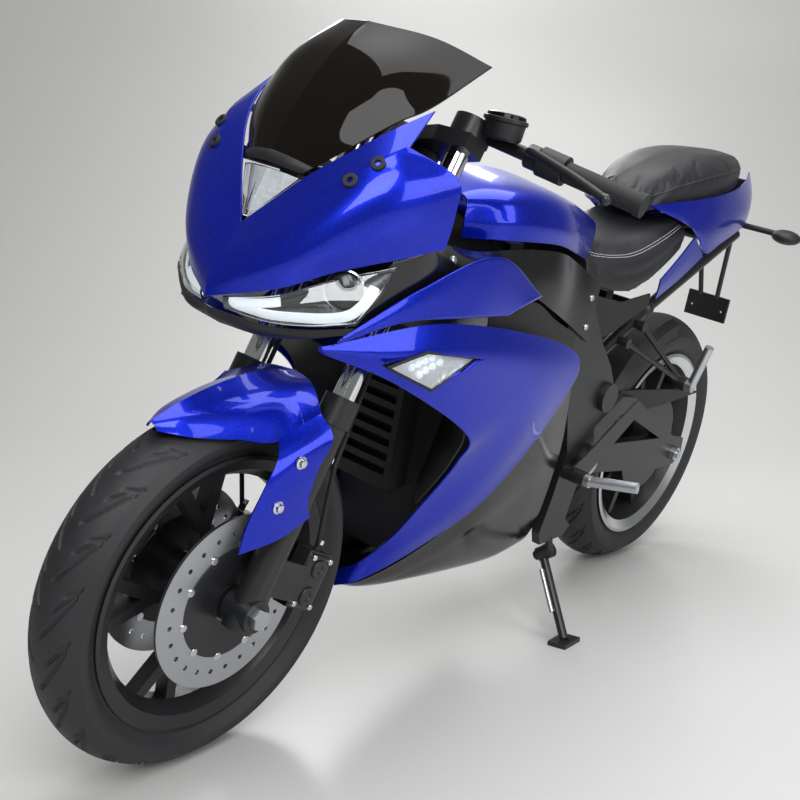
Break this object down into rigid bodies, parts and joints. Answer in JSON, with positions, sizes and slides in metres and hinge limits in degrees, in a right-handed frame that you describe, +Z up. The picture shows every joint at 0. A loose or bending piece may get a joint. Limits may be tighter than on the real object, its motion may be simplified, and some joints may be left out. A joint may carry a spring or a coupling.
{
  "type": "electric sport motorcycle",
  "caption": "Fully faired electric sport motorcycle leaning on its side stand, with hub motor rear wheel, low clip-on bars, windscreen and two stepped seats.",
  "frame": {"origin": "bottom centre of the overall box, on the ground", "axes": "+X forward, +Y to the rider's left, +Z up"},
  "size_m": [1.9708, 0.7805, 1.1389],
  "materials": {
    "blue_paint": "glossy metallic paint on moulded plastic",
    "black_gloss": "glossy black moulded plastic",
    "black_matt": "grained black plastic",
    "dark_grey": "grained dark grey plastic",
    "black_frame": "satin black powder coat",
    "alloy": "cast and knurled alloy",
    "steel": "ground brake steel",
    "hard_chrome": "hard chrome tube",
    "tyre": "treaded rubber",
    "grip_rubber": "moulded grip rubber",
    "seat_cover": "grained black seat cover",
    "clear_lens": "clear lamp lens",
    "smoke_screen": "dark tinted screen",
    "red_lens": "red lamp lens"
  },
  "bodies": {
    "frame": {"main_frame": "black_frame", "frame_plates": "black_frame", "subframe": "black_frame", "fairing_stay": "black_frame", "battery_case": "black_matt", "rear_spindles": "alloy", "swingarm": "black_frame", "rear_shock": "alloy", "rear_caliper": "black_frame", "rear_hugger": "black_matt", "front_cowl": "blue_paint", "nose_lens": "clear_lens", "windscreen": "smoke_screen", "headlamp_housings": "black_matt", "headlamp_lenses": "clear_lens", "nose_mask": "black_matt", "side_fairing_left": "blue_paint", "side_fairing_right": "blue_paint", "front_indicators": "clear_lens", "inner_fairings": "dark_grey", "belly_pan": "black_gloss", "side_covers": "dark_grey", "spar_covers": "black_matt", "tank_cover": "blue_paint", "rider_seat": "seat_cover", "passenger_seat": "seat_cover", "seat_panels": "black_gloss", "tail_cowl": "blue_paint", "tail_lamp": "red_lens", "tail_tray": "black_matt", "plate_bracket": "black_frame", "rear_indicators": "black_matt", "peg_brackets": "black_frame", "foot_pegs": "alloy"},
    "steering": {"steering_clamps": "black_frame", "fork_tubes": "hard_chrome", "fork_legs": "black_frame", "front_axle": "alloy", "front_fender": "blue_paint", "front_calipers": "black_frame", "brake_hoses": "grip_rubber", "handlebars": "black_frame", "grips": "grip_rubber", "switchgear": "black_matt", "levers": "black_matt"},
    "front_wheel": {"front_rim": "black_frame", "front_discs": "steel", "front_tyre": "tyre"},
    "rear_wheel": {"rear_rim": "black_frame", "rear_disc": "steel", "rear_tyre": "tyre"},
    "side_stand": {"side_stand": "black_frame", "stand_spring": "steel"}
  },
  "joints": [
    {"name": "steering", "type": "hinge", "parent": "frame", "child": "steering", "pos_m": [0.36747, 0.00291, 0.88164], "axis": [-0.4226, 0.1884, 0.8865], "range_deg": [-30, 30]},
    {"name": "front_wheel_spin", "type": "hinge", "parent": "steering", "child": "front_wheel", "pos_m": [0.69245, -0.12329, 0.28791], "axis": [0, 0.9781, -0.2079], "continuous": true},
    {"name": "rear_wheel_spin", "type": "hinge", "parent": "frame", "child": "rear_wheel", "pos_m": [-0.67745, -0.1201, 0.30291], "axis": [0, 0.9781, -0.2079], "continuous": true},
    {"name": "side_stand_fold", "type": "hinge", "parent": "frame", "child": "side_stand", "pos_m": [-0.13753, -0.02033, 0.15663], "axis": [0, 0.8652, 0.5014], "range_deg": [0, 95]}
  ]
}
